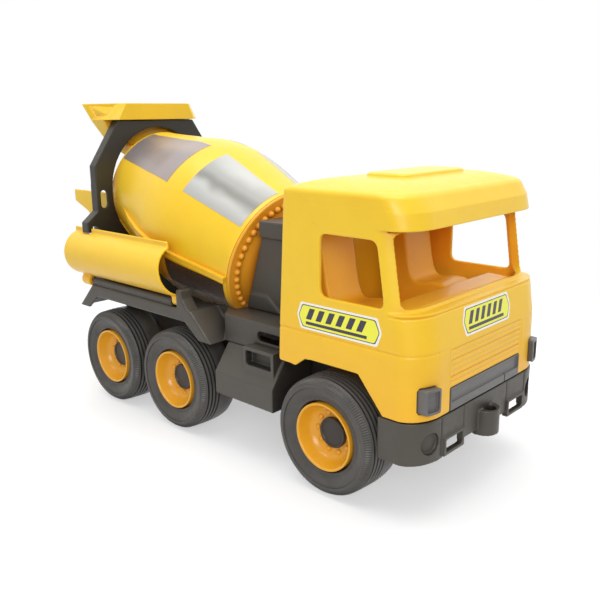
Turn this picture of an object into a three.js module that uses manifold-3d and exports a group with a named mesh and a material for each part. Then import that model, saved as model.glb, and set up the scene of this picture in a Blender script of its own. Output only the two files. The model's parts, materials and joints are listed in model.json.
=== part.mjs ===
// Toy cement mixer truck: a tilted drum on a three-axle chassis, all in moulded plastic with steel axles.
// Millimetres. +X is forward, +Y is the driver's left, +Z is up, and the wheels stand on z = 0.
import * as THREE from "three";
import { mergeVertices } from "three/addons/utils/BufferGeometryUtils.js";
import Module from "manifold-3d";

const wasm = await Module();
wasm.setup();

// ---------- driving dimensions ----------
const GAP = 0.3; // between pieces that touch
const WALL = 2.5; // moulded wall

const TYRE_RADIUS = 37;
const TYRE_WIDTH = 33;
const WHEEL_TRACK = 118; // between the middles of the left and right tyres
const AXLE_X = { front: 87.7, middle: -56.8, rear: -136.9 };
const RIM_RADIUS = 21.2;
const AXLE_RADIUS = 2.5;
const AXLE_BORE = 2.9;

const BEAM_HALF = 34; // chassis beam, half its width
const BEAM_LOW = 27;
const BEAM_TOP = 68.8; // the drum's seam flange passes just above it

const DECK_TOP = 91.7;
const DECK_HALF = 72;
const DECK_INNER = 46; // the drum hangs between the two shelves
const DECK_PLATE = 3.4;
const SKIRT_LOW = 82.7;
const PLATFORM_HALF = 59;

const CAB_HALF = 70.9;
const CAB_REAR = 47.7;
const CAB_FRONT = 152.8;
const CAB_LOW = 61.3;
const BELT = 120.5; // windscreen sill
const VISOR_LOW = 163.8;
const ROOF = 187.3;

const DRUM_TILT = THREE.MathUtils.degToRad(17.5);
const DRUM_FRONT = [-18.4, 0, 121.3]; // centre of the drum's front face
const DRUM_LENGTH = 153;
const DRUM_WALL = 2;
const SEAM_TURN = THREE.MathUtils.degToRad(10); // the seam dips on the right side

const FRAME_FRONT = -159.5;
const FRAME_THICK = 9;
const FRAME_HOLE = { half: 46.8, rise: 50.6, z: 163.2 }; // an upright oval round the drum's tilted mouth

const CHUTE_Y = -64; // middle of the trough's round section
const CHUTE_Z = 116.4;
const CHUTE_RADIUS = 18.3;
const CHUTE_REAR = -181.6;
const CHUTE_FRONT = { top: -61, low: -51.5 }; // the front end is cut on a slant
const HINGE_Y = -68;
const HINGE_Z = 95;
const HINGE_ROD = 1.5;

const SPOUT_TIP = -219;
const HITCH_TIP = 161.5;
const CHUTE_SIDE = CHUTE_Y - CHUTE_RADIUS;
const TYRE_SIDE = (WHEEL_TRACK + TYRE_WIDTH) / 2;
// The frame's origin is under the middle of the whole truck.
const CENTRE_X = -(SPOUT_TIP + HITCH_TIP) / 2;
const CENTRE_Y = -(CHUTE_SIDE + TYRE_SIDE) / 2;

// ---------- materials ----------
const plastic = (color, roughness) => new THREE.MeshStandardMaterial({ color, roughness, metalness: 0 });
const YELLOW = plastic(0xf2c230, 0.35);
const RIM_YELLOW = plastic(0xe9a92c, 0.4);
const DARK = plastic(0x4b4844, 0.55);
const TYRE = plastic(0x43413e, 0.75);
const CAP = plastic(0x2f2d2c, 0.5);
const GREY = plastic(0x7d7f80, 0.45);
const STEEL = new THREE.MeshStandardMaterial({ color: 0xb8babc, roughness: 0.3, metalness: 1 });

// ---------- building blocks ----------
const MERGE = 1e-4;
const ROUND = 12; // sides of a small round hole or pin

// A closed geometry as a solid, with its faces pointing out.
function solid(geometry) {
  const loose = geometry.index ? geometry.toNonIndexed() : geometry;
  const bare = new THREE.BufferGeometry().setAttribute("position", loose.getAttribute("position"));
  const merged = mergeVertices(bare, MERGE);
  const vertProperties = merged.getAttribute("position").array;
  const triVerts = new Uint32Array(merged.index.array);
  const made = new wasm.Manifold(new wasm.Mesh({ numProp: 3, vertProperties, triVerts }));
  if (made.volume() > 0) return made;
  triVerts.reverse();
  return new wasm.Manifold(new wasm.Mesh({ numProp: 3, vertProperties, triVerts }));
}

const join = (first, ...others) => others.reduce((sum, next) => sum.add(next), first);
const cut = (first, ...others) => others.reduce((rest, next) => rest.subtract(next), first);

function mesh(name, body, material) {
  const { vertProperties, triVerts } = body.getMesh();
  const geometry = new THREE.BufferGeometry();
  geometry.setAttribute("position", new THREE.BufferAttribute(vertProperties, 3));
  geometry.setIndex(new THREE.BufferAttribute(triVerts, 1));
  const made = new THREE.Mesh(geometry, material);
  made.name = name;
  return made;
}

const flatPoints = (outline) => outline.map(([a, b]) => new THREE.Vector2(a, b));

function extrusion(outline, depth) {
  const shape = outline instanceof THREE.Shape ? outline : new THREE.Shape(flatPoints(outline));
  return new THREE.ExtrudeGeometry(shape, { depth, bevelEnabled: false, curveSegments: 8 });
}

// An outline in x and z, given its thickness along Y.
function sidePlate(outline, yLow, yHigh) {
  const geometry = extrusion(outline, yHigh - yLow);
  geometry.rotateX(Math.PI / 2);
  geometry.translate(0, yHigh, 0);
  return solid(geometry);
}

// An outline in y and z, given its thickness along X.
function crossPlate(outline, xLow, xHigh) {
  const geometry = extrusion(outline, xHigh - xLow);
  const [x, y, z] = [new THREE.Vector3(1, 0, 0), new THREE.Vector3(0, 1, 0), new THREE.Vector3(0, 0, 1)];
  geometry.applyMatrix4(new THREE.Matrix4().makeBasis(y, z, x));
  geometry.translate(xLow, 0, 0);
  return solid(geometry);
}

// An outline in x and y, given its thickness along Z.
function floorPlate(outline, zLow, zHigh) {
  const geometry = extrusion(outline, zHigh - zLow);
  geometry.translate(0, 0, zLow);
  return solid(geometry);
}

function block(xLow, xHigh, yLow, yHigh, zLow, zHigh) {
  const geometry = new THREE.BoxGeometry(xHigh - xLow, yHigh - yLow, zHigh - zLow);
  geometry.translate((xLow + xHigh) / 2, (yLow + yHigh) / 2, (zLow + zHigh) / 2);
  return solid(geometry);
}

function rodX(radius, xLow, xHigh, y, z, sides = ROUND) {
  const geometry = new THREE.CylinderGeometry(radius, radius, xHigh - xLow, sides);
  geometry.rotateZ(Math.PI / 2);
  geometry.translate((xLow + xHigh) / 2, y, z);
  return solid(geometry);
}

function rodY(radius, yLow, yHigh, x, z, sides = ROUND) {
  const geometry = new THREE.CylinderGeometry(radius, radius, yHigh - yLow, sides);
  geometry.translate(x, (yLow + yHigh) / 2, z);
  return solid(geometry);
}

function rodZ(radius, zLow, zHigh, x, y, sides = ROUND) {
  const geometry = new THREE.CylinderGeometry(radius, radius, zHigh - zLow, sides);
  geometry.rotateX(Math.PI / 2);
  geometry.translate(x, y, (zLow + zHigh) / 2);
  return solid(geometry);
}

// A profile of [radius, height] pairs turned about Y.
function turned(profile, sides) {
  return solid(new THREE.LatheGeometry(profile.map(([r, y]) => new THREE.Vector2(r, y)), sides));
}

// Points along an arc, angles in degrees.
function arc(cx, cy, radius, from, to, steps) {
  return Array.from({ length: steps + 1 }, (_, i) => {
    const turn = THREE.MathUtils.degToRad(from + ((to - from) * i) / steps);
    return [cx + radius * Math.cos(turn), cy + radius * Math.sin(turn)];
  });
}

function roundedRectangle(left, right, low, high, radius) {
  return [
    ...arc(right - radius, high - radius, radius, 0, 90, 3),
    ...arc(left + radius, high - radius, radius, 90, 180, 3),
    ...arc(left + radius, low + radius, radius, 180, 270, 3),
    ...arc(right - radius, low + radius, radius, 270, 360, 3),
  ];
}

// A closed skin through rings of points, all of the same count, with flat ends.
function loft(rings) {
  const count = rings[0].length;
  const positions = rings.flat(2);
  const index = [];
  for (let ring = 0; ring + 1 < rings.length; ring++) {
    for (let i = 0; i < count; i++) {
      const a = ring * count + i;
      const b = ring * count + ((i + 1) % count);
      index.push(a, b, a + count, b, b + count, a + count);
    }
  }
  const last = (rings.length - 1) * count;
  for (let i = 1; i + 1 < count; i++) {
    index.push(0, i + 1, i, last, last + i, last + i + 1);
  }
  const geometry = new THREE.BufferGeometry();
  geometry.setAttribute("position", new THREE.BufferAttribute(new Float32Array(positions), 3));
  geometry.setIndex(index);
  return solid(geometry);
}

const mirrored = (outline) => outline.map(([a, b]) => [a, -b]).reverse();
const bothSides = (make) => join(make(1), make(-1));
// The lower and higher y of a stretch between two distances from the middle, on one side.
const span = (side, near, far) => (side > 0 ? [near, far] : [-far, -near]);

// ---------- wheels and axles ----------
const HUB_FACE = 3.5; // how far the rim's web stands out from the tyre's middle plane

function tyre() {
  const half = TYRE_WIDTH / 2;
  const bore = RIM_RADIUS + GAP;
  return turned(
    [
      [bore, -half + 4],
      [TYRE_RADIUS - 9, -half],
      [TYRE_RADIUS - 2, -half + 2],
      [TYRE_RADIUS, -half + 6],
      [TYRE_RADIUS, half - 6],
      [TYRE_RADIUS - 2, half - 2],
      [TYRE_RADIUS - 9, half],
      [bore, half - 4],
      [bore, -half + 4],
    ],
    24,
  );
}

function rim() {
  const lip = TYRE_WIDTH / 2 - 1.6;
  const bore = AXLE_RADIUS + GAP;
  return turned(
    [
      [bore, HUB_FACE - 10],
      [bore + 4, HUB_FACE - 10],
      [bore + 4, HUB_FACE - 2.5],
      [RIM_RADIUS - 3, HUB_FACE - 2.5],
      [RIM_RADIUS - 1.8, 3 - lip],
      [RIM_RADIUS, 3 - lip],
      [RIM_RADIUS, lip],
      [RIM_RADIUS - 1.5, lip],
      [RIM_RADIUS - 4.5, HUB_FACE],
      [bore, HUB_FACE],
      [bore, HUB_FACE - 10],
    ],
    20,
  );
}

function hubCap() {
  const base = HUB_FACE + GAP;
  return turned([[0, base], [9.6, base], [9.6, base + 1.8], [8.6, base + 2.8], [0, base + 2.8]], 16);
}

function wheel(axle, side) {
  const group = new THREE.Group();
  group.position.set(AXLE_X[axle], (side === "left" ? 1 : -1) * (WHEEL_TRACK / 2), TYRE_RADIUS);
  if (side === "right") group.rotation.z = Math.PI;
  group.add(mesh(`tyre_${axle}_${side}`, tyre(), TYRE));
  group.add(mesh(`rim_${axle}_${side}`, rim(), RIM_YELLOW));
  group.add(mesh(`hub_cap_${axle}_${side}`, hubCap(), CAP));
  return group;
}

function axleRod(axle) {
  const reach = WHEEL_TRACK / 2 + HUB_FACE;
  return mesh(`axle_${axle}`, rodY(AXLE_RADIUS, -reach, reach, AXLE_X[axle], TYRE_RADIUS), STEEL);
}

// ---------- chassis ----------
const BEAM_REAR = -170;
const BEAM_FRONT = 143;
const SCREW_PLACES = { rear: -163.5, platform: 30, cab: 68 };
const SCREW_Y = 20;
const SCREW_SHANK = 1.5;
const SCREW_BORE = 1.8;
const BEAM_SKIN = 4;
const BEAM_WALL = 3;
const AXLE_RIB = 9;
const PLAIN_RIB = 3;

// The beam is open below, with a bearing rib at each axle and plain ribs between them.
function chassisFrame() {
  const outline = [
    [BEAM_REAR, 36],
    [BEAM_REAR + 12, BEAM_LOW],
    [132, BEAM_LOW],
    [BEAM_FRONT, 42],
    [BEAM_FRONT, 57],
    [128, BEAM_TOP],
    [BEAM_REAR, BEAM_TOP],
  ];
  let body = sidePlate(outline, -BEAM_HALF, BEAM_HALF);
  const ribs = [
    [BEAM_REAR + PLAIN_RIB / 2, PLAIN_RIB],
    [AXLE_X.rear, AXLE_RIB],
    [(AXLE_X.rear + AXLE_X.middle) / 2, PLAIN_RIB],
    [AXLE_X.middle, AXLE_RIB],
    [-20, PLAIN_RIB],
    [14, PLAIN_RIB],
    [50, PLAIN_RIB],
    [AXLE_X.front, AXLE_RIB],
    [122, PLAIN_RIB],
  ];
  for (let i = 0; i + 1 < ribs.length; i++) {
    const low = ribs[i][0] + ribs[i][1] / 2;
    const high = ribs[i + 1][0] - ribs[i + 1][1] / 2;
    const inside = BEAM_HALF - BEAM_WALL;
    body = cut(body, block(low, high, -inside, inside, 0, BEAM_TOP - BEAM_SKIN));
  }
  for (const x of Object.values(AXLE_X)) {
    body = cut(body, rodY(AXLE_BORE, -BEAM_HALF - 1, BEAM_HALF + 1, x, TYRE_RADIUS));
  }
  for (const x of Object.values(SCREW_PLACES)) {
    body = cut(body, bothSides((side) => rodZ(SCREW_BORE, BEAM_TOP - 6, BEAM_TOP + 1, x, side * SCREW_Y)));
  }
  return mesh("chassis_frame", body, DARK);
}

function screw(place, side) {
  const skinLow = BEAM_TOP - BEAM_SKIN - GAP;
  const geometry = turned(
    [[0, 0], [2.2, 0], [3.2, 1.2], [3.2, 2.4], [SCREW_SHANK, 2.4], [SCREW_SHANK, 14], [0, 15.5]],
    ROUND,
  );
  const made = mesh(`screw_${place}_${side}`, geometry, STEEL);
  made.rotation.x = Math.PI / 2;
  made.position.set(SCREW_PLACES[place], (side === "left" ? 1 : -1) * SCREW_Y, skinLow - 2.4);
  return made;
}

// A boss that stands on the beam and takes a screw from below.
function screwBoss(x, top) {
  return bothSides((side) =>
    cut(
      rodZ(4.5, BEAM_TOP + GAP, top, x, side * SCREW_Y),
      rodZ(SCREW_BORE, BEAM_TOP, BEAM_TOP + 13, x, side * SCREW_Y),
    ),
  );
}

// ---------- deck: mudguard shelves, platform and chute rail ----------
const SHELF = { rearTip: -181, rear: -160.5, front: -36, frontTip: -15, tipLow: 72 };

// A shelf seen from the side: flat over the wheels, sloping down to a tip at each end.
function shelfOutline(thick, tipLength) {
  const { rearTip, rear, front, frontTip, tipLow } = SHELF;
  return [
    [rearTip, tipLow],
    [rearTip + tipLength, tipLow],
    [rear + 0.45 * thick + 2, DECK_TOP - thick],
    [front - 0.45 * thick - 2, DECK_TOP - thick],
    [frontTip - tipLength, tipLow],
    [frontTip, tipLow],
    [front, DECK_TOP],
    [rear, DECK_TOP],
  ];
}

const EAR = { front: -44.5, rear: -50.5 };
const RAIL = { rear: -162, front: -58, radius: 3 };

function chuteRail() {
  const barrel = rodX(RAIL.radius, RAIL.rear, RAIL.front, HINGE_Y, HINGE_Z);
  const foot = block(RAIL.rear, RAIL.front, HINGE_Y - 2.2, HINGE_Y + 2.6, DECK_TOP - 1, HINGE_Z);
  const ear = sidePlate(
    [
      [EAR.rear, DECK_TOP - 1],
      [EAR.front + 7, DECK_TOP - 1],
      [EAR.front, 99],
      [EAR.front - 1, 105],
      [EAR.rear, 105],
    ],
    -DECK_HALF,
    -DECK_HALF + 10,
  );
  return join(barrel, foot, ear);
}

function deck() {
  const shelf = (side) =>
    join(
      sidePlate(shelfOutline(DECK_PLATE, 4.5), ...span(side, DECK_INNER, DECK_HALF)),
      sidePlate(shelfOutline(DECK_TOP - SKIRT_LOW, 13), ...span(side, DECK_HALF - WALL, DECK_HALF)),
    );
  const platformLow = DECK_TOP - DECK_PLATE;
  const [front, corner, neck, root] = [46, -14, -24, SHELF.front - 6];
  const [cheekNear, cheekFar] = [DECK_INNER - 1.5, DECK_INNER + 1];
  // The platform narrows behind its corners to a tongue along each shelf's inner edge.
  const edge = [
    [front, PLATFORM_HALF],
    [corner, PLATFORM_HALF],
    [neck, cheekFar],
    [root, cheekFar],
    [root, cheekNear],
    [-17, cheekNear],
  ];
  const platform = floorPlate([...edge, ...mirrored(edge)], platformLow, DECK_TOP);
  const tongue = (side) => block(root, neck + 3, ...span(side, cheekNear, cheekFar), 79, DECK_TOP);
  // A wall hangs from the platform's side and slanting rear edge.
  const wallPath = [
    [front, PLATFORM_HALF],
    [corner, PLATFORM_HALF],
    [neck, cheekFar],
    [neck + 2, cheekFar - 1.5],
    [corner + 1.2, PLATFORM_HALF - WALL],
    [front, PLATFORM_HALF - WALL],
  ];
  const wallLow = 72.8;
  const walls = join(
    floorPlate(wallPath, wallLow, DECK_TOP),
    floorPlate(mirrored(wallPath), wallLow, DECK_TOP),
    bothSides(tongue),
  );
  const rearBar = join(
    block(-169, -152, -DECK_INNER - 2, DECK_INNER + 2, 84, DECK_TOP),
    block(-152 - WALL, -152, -DECK_INNER, DECK_INNER, BEAM_TOP + GAP, 85),
  );
  const bosses = join(screwBoss(SCREW_PLACES.rear, 85), screwBoss(SCREW_PLACES.platform, platformLow + 1));
  const slots = bothSides((side) =>
    sidePlate(roundedRectangle(18, 43, 79, 85.5, 2.5), side * PLATFORM_HALF - 5, side * PLATFORM_HALF + 5),
  );
  let body = join(shelf(1), shelf(-1), platform, walls, rearBar, bosses, chuteRail());
  body = cut(body, slots, rodX(HINGE_ROD + GAP, RAIL.rear - 1, EAR.front - 3, HINGE_Y, HINGE_Z));
  return mesh("deck", body, DARK);
}

// ---------- side boxes under the platform ----------
function sideBox(side) {
  const turn = side === "left" ? 1 : -1;
  const [rear, front] = [-11, 44];
  const outline = [
    [BEAM_HALF + GAP, 39],
    [DECK_HALF, 39],
    [DECK_HALF, 54.5],
    [PLATFORM_HALF, 72.5],
    [BEAM_HALF + GAP, 72.5],
  ];
  const oriented = turn > 0 ? outline : outline.map(([y, z]) => [-y, z]).reverse();
  const step = block(14, 42, ...span(turn, PLATFORM_HALF + GAP, 68.5), 60, 77);
  const pocket = block(16.5, 39.5, ...span(turn, 62.5, 70), 65, 74.5);
  return mesh(`side_box_${side}`, cut(join(crossPlate(oriented, rear, front), step), pocket), DARK);
}

// ---------- cab ----------
const CORNER = { along: 14.8, across: 22 };
const CORNER_STEPS = 10;

// The cab's plan at one level, with broad round front corners.
function cabRing({ z, rear, front, half, corner = CORNER }, inset = 0) {
  const [low, high, side] = [rear + inset, front - inset, half - inset];
  const points = [];
  for (let i = 0; i <= CORNER_STEPS; i++) {
    const turn = (Math.PI / 2) * (i / CORNER_STEPS);
    const x = high - corner.along * (1 - Math.cos(turn));
    const y = side - corner.across * (1 - Math.sin(turn));
    points.push([x, y, z]);
  }
  const rearCorner = arc(low + 3, side - 3, 3, 90, 180, 2).map(([x, y]) => [x, y, z]);
  points.push(...rearCorner);
  return [...points, ...points.map(([x, y]) => [x, -y, z]).reverse()];
}

const LOWER_CAB = [
  { z: CAB_LOW, rear: CAB_REAR, front: CAB_FRONT, half: CAB_HALF },
  { z: 98.4, rear: 49.3, front: 152.4, half: CAB_HALF },
  { z: BELT, rear: 50.7, front: 149.2, half: CAB_HALF },
];
const PILLARS = [
  { z: BELT, rear: 50.7, front: 143.4, half: CAB_HALF },
  { z: VISOR_LOW, rear: 53.4, front: 136.4, half: CAB_HALF },
];
const ROOF_CAP = [
  { z: VISOR_LOW, rear: 53.4, front: 145.3, half: CAB_HALF },
  { z: 173, rear: 54, front: 143.3, half: CAB_HALF },
  { z: 180, rear: 54.8, front: 139.5, half: 69.6 },
  { z: 184.6, rear: 57, front: 133.5, half: 66.5 },
  { z: ROOF - 0.8, rear: 61, front: 127, half: 60 },
  { z: ROOF, rear: 66, front: 120, half: 50 },
];

const GRILLE = { half: 40, low: 61.6, high: 75.1 };
const LAMP = { inner: 53.7, outer: 64.7, low: 66, high: 80.4, proud: 2.8 };

function cabShell() {
  const skin = (levels) => loft(levels.map((level) => cabRing(level)));
  const core = (levels, drop, raise) =>
    loft(
      levels.map((level, i) => {
        const z = level.z - (i === levels.length - 1 ? drop : 0) - (i === 0 ? raise : 0);
        return cabRing({ ...level, z }, WALL);
      }),
    );
  const outside = join(skin(LOWER_CAB), skin(PILLARS), skin(ROOF_CAP));
  const inside = join(
    core(LOWER_CAB, WALL, 10),
    core(PILLARS, 0, WALL + 1),
    core(ROOF_CAP.slice(0, 5), WALL, 1),
  );
  const sideWindow = sidePlate([[83.3, 122], [128.8, 122], [123.1, 158.3], [83.3, 158.3]], -90, 90);
  const windscreenHalf = 66.6;
  const windscreen = block(127, 160, -windscreenHalf, windscreenHalf, BELT + 1.5, VISOR_LOW - 1.5);
  const arches = sidePlate(
    [
      [30, 40],
      [128.8, 40],
      [128.8, CAB_LOW],
      [111.4, 82],
      [77.5, 82],
      [71, 81.5],
      [63.6, 76],
      [30, 77.8],
    ],
    -90,
    90,
  );
  const hatch = floorPlate(roundedRectangle(84, 114, -33, 33, 5), ROOF - 2, ROOF + 2.4);
  const grilleEdge = GRILLE.half + GAP;
  const grilleHole = block(140, 160, -grilleEdge, grilleEdge, CAB_LOW - 1, GRILLE.high + GAP);
  const lampHoles = bothSides((side) => {
    const edges = span(side, LAMP.inner - GAP, LAMP.outer + GAP);
    return block(136, 160, ...edges, LAMP.low - GAP, LAMP.high + GAP);
  });
  const shell = cut(join(outside, hatch), inside, sideWindow, windscreen, arches, grilleHole, lampHoles);
  return mesh("cab_shell", shell, YELLOW);
}

// The band between two copies of the cab's plan, standing proud of the shell and reaching into it.
function frontBand(zLow, zHigh, proud, depth) {
  const level = (z) => ({ z, rear: 110, front: CAB_FRONT + proud, half: CAB_HALF + proud });
  const outer = loft([cabRing(level(zLow)), cabRing(level(zHigh))]);
  const inner = loft([cabRing(level(zLow - 1), depth), cabRing(level(zHigh + 1), depth)]);
  return cut(outer, inner);
}

function headlight(side) {
  const edges = span(side === "left" ? 1 : -1, LAMP.inner, LAMP.outer);
  const window = block(136, 160, ...edges, LAMP.low, LAMP.high);
  return mesh(`headlight_${side}`, frontBand(LAMP.low, LAMP.high, LAMP.proud, 5).intersect(window), GREY);
}

function grilleInsert() {
  const { half, low, high } = GRILLE;
  const window = block(140, 160, -half, half, low, high);
  return mesh("grille_insert", frontBand(low, high, 0.4, 4).intersect(window), GREY);
}

// Floor, two seats and dashboard in one moulding.
function cabInterior() {
  const floor = block(56, 136, -64, 64, 92.5, 95);
  const seat = (side) => {
    const profile = [
      [60, 94],
      [106, 94],
      [108, 112],
      [104, 115],
      [79, 112],
      [77, 131],
      [73, 134],
      [70, 156],
      [66, 160],
      [60, 156],
    ];
    return sidePlate(profile, ...span(side, 26.5, 56.5));
  };
  const dashboard = sidePlate([[119, 94], [134, 94], [134, 119], [118, 119.6], [117, 112]], -59, 59);
  const posts = screwBoss(SCREW_PLACES.cab, 93);
  return mesh("cab_interior", join(floor, seat(1), seat(-1), dashboard, posts), YELLOW);
}

// ---------- bumper with two steps and a tow hitch ----------
function frontBumper() {
  const [low, high, centreLow] = [36, CAB_LOW - 0.5, 40];
  const band = cut(frontBand(low, high, 0.5, 2.8), block(100, 126, -90, 90, 0, 90));
  const raisedCentre = block(130, 170, -47, 47, low - 1, centreLow);
  const step = (side) => block(151, 154.6, ...span(side, 25.8, 47), 37, 48);
  const stepWindow = (side) => block(140, 165, ...span(side, 27.8, 45), 38.8, 46.4);
  const hitchHalf = 9;
  const hitch = join(
    rodZ(hitchHalf, 36.5, 52, HITCH_TIP - hitchHalf, 0, 20),
    block(151, HITCH_TIP - hitchHalf, -hitchHalf, hitchHalf, 36.5, 52),
  );
  const eye = rodZ(4.1, 30, 60, HITCH_TIP - 6, 0, 16);
  const body = cut(join(cut(band, raisedCentre), step(1), step(-1)), stepWindow(1), stepWindow(-1));
  return mesh("front_bumper", join(body, cut(hitch, eye)), DARK);
}

// ---------- drum pedestal behind the cab ----------
const PEDESTAL_HALF = 37;
const PEDESTAL_LOW = DECK_TOP + GAP;
const PEDESTAL_TOP = 153.5;
const PEDESTAL_FACE = 12; // from the drum's front plane to the pedestal's leaning face

// x of the leaning face at a height.
function pedestalFace(z) {
  const [x, , centre] = DRUM_FRONT;
  return x + PEDESTAL_FACE / Math.cos(DRUM_TILT) + (z - centre) * Math.tan(DRUM_TILT);
}

function pedestal() {
  const front = 41;
  const tower = (inset, low, top) => [
    [pedestalFace(low) + inset, low],
    [front - inset, low],
    [front - inset, top],
    [pedestalFace(top) + inset, top],
  ];
  const outside = sidePlate(tower(0, PEDESTAL_LOW, PEDESTAL_TOP), -PEDESTAL_HALF, PEDESTAL_HALF);
  const inside = sidePlate(
    tower(WALL, PEDESTAL_LOW - 5, PEDESTAL_TOP - WALL),
    -PEDESTAL_HALF + WALL,
    PEDESTAL_HALF - WALL,
  );
  const [shoulderLow, shoulderHalf] = [143, PEDESTAL_HALF + 1.5];
  const shoulderRear = pedestalFace(shoulderLow) - 1;
  const shoulder = block(shoulderRear, front, -shoulderHalf, shoulderHalf, shoulderLow, PEDESTAL_TOP + 0.8);
  const gusset = (side) => {
    const outline = [[-14, PEDESTAL_LOW], [20, PEDESTAL_LOW], [6, 103], [-10.5, 103]];
    return sidePlate(outline, ...span(side, PEDESTAL_HALF - 1, PEDESTAL_HALF + 1.2));
  };
  const bearing = drumAligned(rodX(DRUM_PIN + 0.5, 5, 24, 0, 0, 16));
  const body = cut(join(outside, gusset(1), gusset(-1), shoulder), inside, bearing);
  return mesh("drum_pedestal", body, DARK);
}

// ---------- drum ----------
const DRUM_PIN = 4.5;

// Moves a solid from the drum's own frame, with +X along its axis, to the truck's frame.
function drumAligned(body) {
  return body.rotate([0, THREE.MathUtils.radToDeg(DRUM_TILT), 0]).translate(DRUM_FRONT);
}

// Outside radius at stations along the axis, from the mouth to the front edge.
const DRUM_STATIONS = [
  [-DRUM_LENGTH, 44.5],
  [-142.7, 46.6],
  [-124, 51.2],
  [-105, 55.8],
  [-88, 60.2],
  [-68, 62],
  [-53, 60.7],
  [-38, 58.2],
  [-22, 54.9],
  [0, 51],
];

function turnedAlongX(profile, sides) {
  const geometry = new THREE.LatheGeometry(profile.map(([x, r]) => new THREE.Vector2(r, x)), sides);
  geometry.rotateZ(-Math.PI / 2);
  return solid(geometry);
}

// Half of the drum's shell, with a seam flange along each straight edge.
function drumShell(name, turn) {
  const inner = DRUM_STATIONS.map(([x, r]) => [x, r - DRUM_WALL]).reverse();
  const shell = turnedAlongX([...DRUM_STATIONS, ...inner, DRUM_STATIONS[0]], 32);
  const lip = DRUM_STATIONS.slice(2).map(([x, r], i) => [x, r + (i === 0 ? 0.2 : 3)]);
  const root = DRUM_STATIONS.slice(2).map(([x, r]) => [x, r - 1]).reverse();
  const flange = bothSides((side) =>
    floorPlate([...lip, ...root].map(([x, r]) => [x, side * r]), 0, 2.2),
  );
  const keep = block(-200, 50, -90, 90, GAP / 2, 90);
  const half = join(shell.intersect(keep), flange.intersect(keep));
  return mesh(name, half.rotate([THREE.MathUtils.radToDeg(SEAM_TURN) + turn, 0, 0]), YELLOW);
}

const STUD_CIRCLE = 43.4;
const STUD_COUNT = 45;
const STUD_REACH = 2.4;

// The front plate: a flat rim that carries a ring of studs, then a cone up to the pin's boss.
function drumFrontPlate() {
  const radius = DRUM_STATIONS.at(-1)[1];
  const plate = turnedAlongX(
    [
      [GAP, 0],
      [GAP, radius - 0.3],
      [1.8, radius - 0.6],
      [2.2, 39],
      [7, 30],
      [7, 9],
      [10.6, 8],
      [10.6, DRUM_PIN + GAP],
      [3, DRUM_PIN + GAP],
      [3, 0],
    ],
    24,
  );
  let body = plate;
  for (let i = 0; i < STUD_COUNT; i++) {
    const turn = (2 * Math.PI * i) / STUD_COUNT;
    const stud = new THREE.OctahedronGeometry(STUD_REACH, 0);
    stud.translate(STUD_REACH, STUD_CIRCLE * Math.cos(turn), STUD_CIRCLE * Math.sin(turn));
    body = join(body, solid(stud));
  }
  return mesh("drum_front_plate", body, YELLOW);
}

function drum() {
  const group = new THREE.Group();
  group.position.set(...DRUM_FRONT);
  group.rotation.y = DRUM_TILT;
  group.add(drumShell("drum_upper_shell", 0));
  group.add(drumShell("drum_lower_shell", 180));
  group.add(drumFrontPlate());
  group.add(mesh("drum_pin", rodX(DRUM_PIN, 3 + GAP, 20, 0, 0, 16), STEEL));
  return group;
}

// ---------- rear frame ----------
function rearFrame() {
  const half = [
    [61.5, DECK_TOP + GAP],
    [61.5, 150],
    [61, 185],
    [37.5, 219.5],
  ];
  const left = half.map(([y, z]) => [-y, z]).reverse();
  const outline = new THREE.Shape(flatPoints([...half, ...left]));
  const circle = arc(0, 0, 1, 0, 360, 48).slice(1);
  const hole = circle.map(([y, z]) => [FRAME_HOLE.half * y, FRAME_HOLE.z + FRAME_HOLE.rise * z]);
  outline.holes.push(new THREE.Path(flatPoints(hole)));
  const [rear, front] = [FRAME_FRONT - FRAME_THICK, FRAME_FRONT];
  const plate = crossPlate(outline, rear, front);
  const hook = crossPlate(
    [
      [-60, 151],
      [-72, 141.5],
      [-72, 133.5],
      [-67.4, 133.5],
      [-67, 139],
      [-60, 136],
    ],
    rear,
    front,
  );
  // A slot on each side, with the plate thinned from behind round it.
  const slots = bothSides((side) => {
    const outline = roundedRectangle(...span(side, 52.2, 57.8), 152, 166, 2.5);
    const slot = crossPlate(outline, rear - 1, front + 1);
    return join(slot, block(rear - 1, front - WALL, ...span(side, 44, 59), 150, 168));
  });
  return mesh("rear_frame", cut(join(plate, hook), slots), DARK);
}

// ---------- hopper ----------
// Half of the hopper's plan at one level: two front corners and the rear corner, then mirrored.
function hopperRing({ z, front, corner, rear }) {
  const half = [front, corner, rear].map(([x, y]) => [x, y, z]);
  return [...half, ...half.map(([x, y]) => [x, -y, z]).reverse()];
}

const HOPPER = [
  { z: 200, front: [-169.5, 26], corner: [-171, 31], rear: [-182, 33] },
  { z: 219.9, front: [-169.5, 37], corner: [-171, 43.5], rear: [-188.5, 44] },
  { z: 220, front: [-157.4, 37.6], corner: [-163, 44.5], rear: [-188.5, 44] },
  { z: 232.8, front: [-156, 30.8], corner: [-160.2, 35.3], rear: [-196, 47] },
];

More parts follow.
